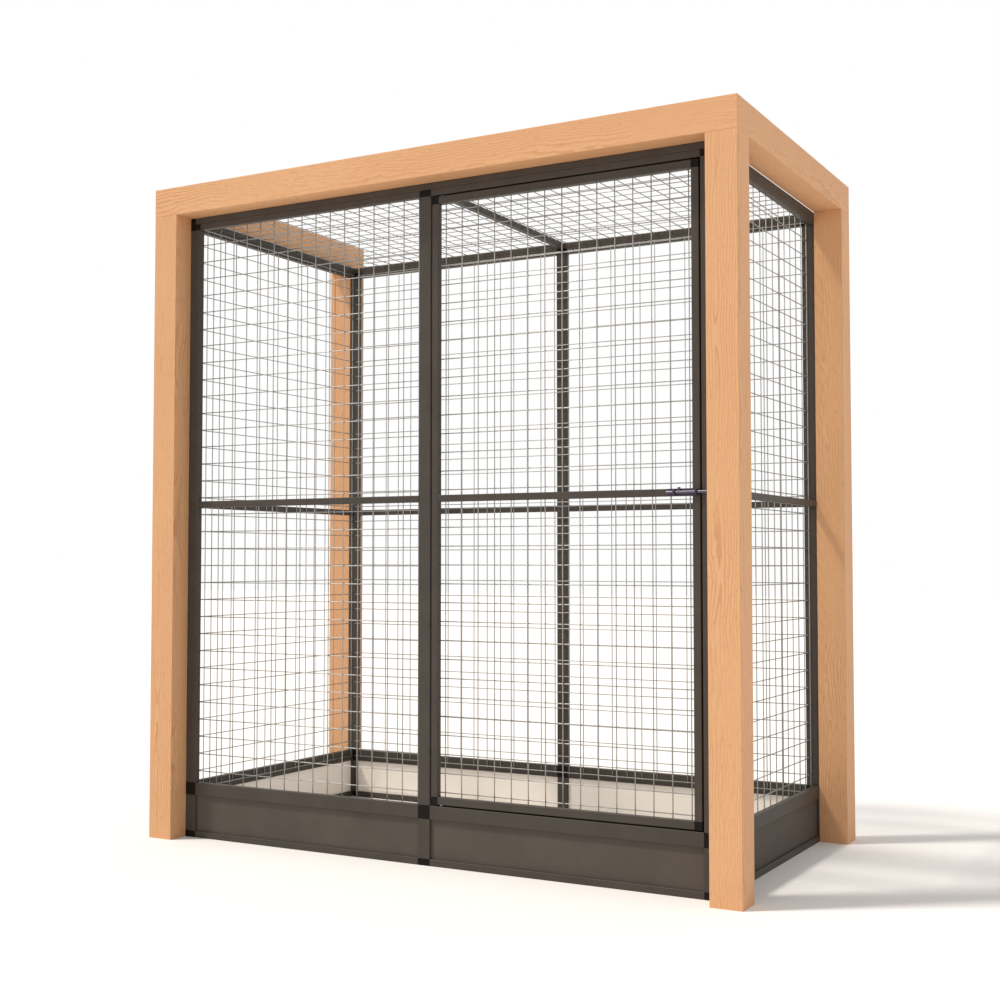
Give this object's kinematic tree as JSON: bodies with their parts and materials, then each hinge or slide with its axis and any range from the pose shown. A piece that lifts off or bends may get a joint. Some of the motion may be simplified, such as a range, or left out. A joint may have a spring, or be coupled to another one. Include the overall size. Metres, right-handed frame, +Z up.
{
  "type": "cat enclosure",
  "caption": "Tall wire-mesh cat enclosure of dark square tubes in a light timber surround, with solid kick panels and a bolted door in the right bay.",
  "frame": {"origin": "middle of the footprint, on the floor", "axes": "+X to the right seen from the front, the front faces -Y, +Z up"},
  "size_m": [1.986, 1.06, 2.09],
  "materials": {
    "timber": "oiled, satin",
    "tenon_wood": "raw",
    "frame_coat": "satin powder coat",
    "panel_board": "satin powder coat outside, pale inside",
    "connector_plastic": "moulded, matt",
    "wire": "galvanised",
    "pivot_steel": "turned",
    "bush_plastic": "moulded",
    "bolt_metal": "dark satin coat"
  },
  "bodies": {
    "frame": {"beam_front": "timber", "beam_left": "timber", "beam_right": "timber", "bolt_keeper": "bolt_metal", "end_caps": "connector_plastic", "frame_tenons": "tenon_wood", "front_bottom_rails": "frame_coat", "front_connectors": "connector_plastic", "front_kick_panels": "panel_board", "front_kick_rails": "frame_coat", "front_mesh": "wire", "front_mid_rail": "frame_coat", "front_mullion": "frame_coat", "front_stiles": "frame_coat", "front_top_rails": "frame_coat", "left_bottom_rail": "frame_coat", "left_kick_panel": "panel_board", "left_kick_rail": "frame_coat", "left_mesh": "wire", "left_mid_rail": "frame_coat", "left_stiles": "frame_coat", "left_top_rail": "frame_coat", "pivot_bushes": "bush_plastic", "post_front_left": "timber", "post_front_right": "timber", "post_rear_left": "timber", "post_rear_right": "timber", "rear_bottom_rails": "frame_coat", "rear_connectors": "connector_plastic", "rear_kick_panels": "panel_board", "rear_kick_rails": "frame_coat", "rear_mesh": "wire", "rear_mid_rails": "frame_coat", "rear_mullion": "frame_coat", "rear_stiles": "frame_coat", "rear_top_rails": "frame_coat", "right_bottom_rail": "frame_coat", "right_kick_panel": "panel_board", "right_kick_rail": "frame_coat", "right_mesh": "wire", "right_mid_rail": "frame_coat", "right_stiles": "frame_coat", "right_top_rail": "frame_coat", "roof_cross_rails": "frame_coat", "roof_mesh": "wire", "roof_mid_bar": "frame_coat", "roof_side_rails": "frame_coat", "stop_strips": "frame_coat"},
    "door": {"door_bottom_rail": "frame_coat", "door_connectors": "connector_plastic", "door_hinge_stile": "frame_coat", "door_latch_stile": "frame_coat", "door_mesh": "wire", "door_mid_rail": "frame_coat", "door_top_rail": "frame_coat", "pivot_pins": "pivot_steel", "bolt_plate": "bolt_metal"},
    "bolt": {"bolt_rod": "bolt_metal"}
  },
  "joints": [
    {"name": "door_swing", "type": "hinge", "parent": "frame", "child": "door", "pos_m": [0.0355, -0.45, 1.067], "axis": [0, 0, -1], "range_deg": [0, 105]},
    {"name": "bolt_slide", "type": "slide", "parent": "door", "child": "bolt", "axis": [1, 0, 0], "range_m": [-0.004, 0.018]}
  ]
}
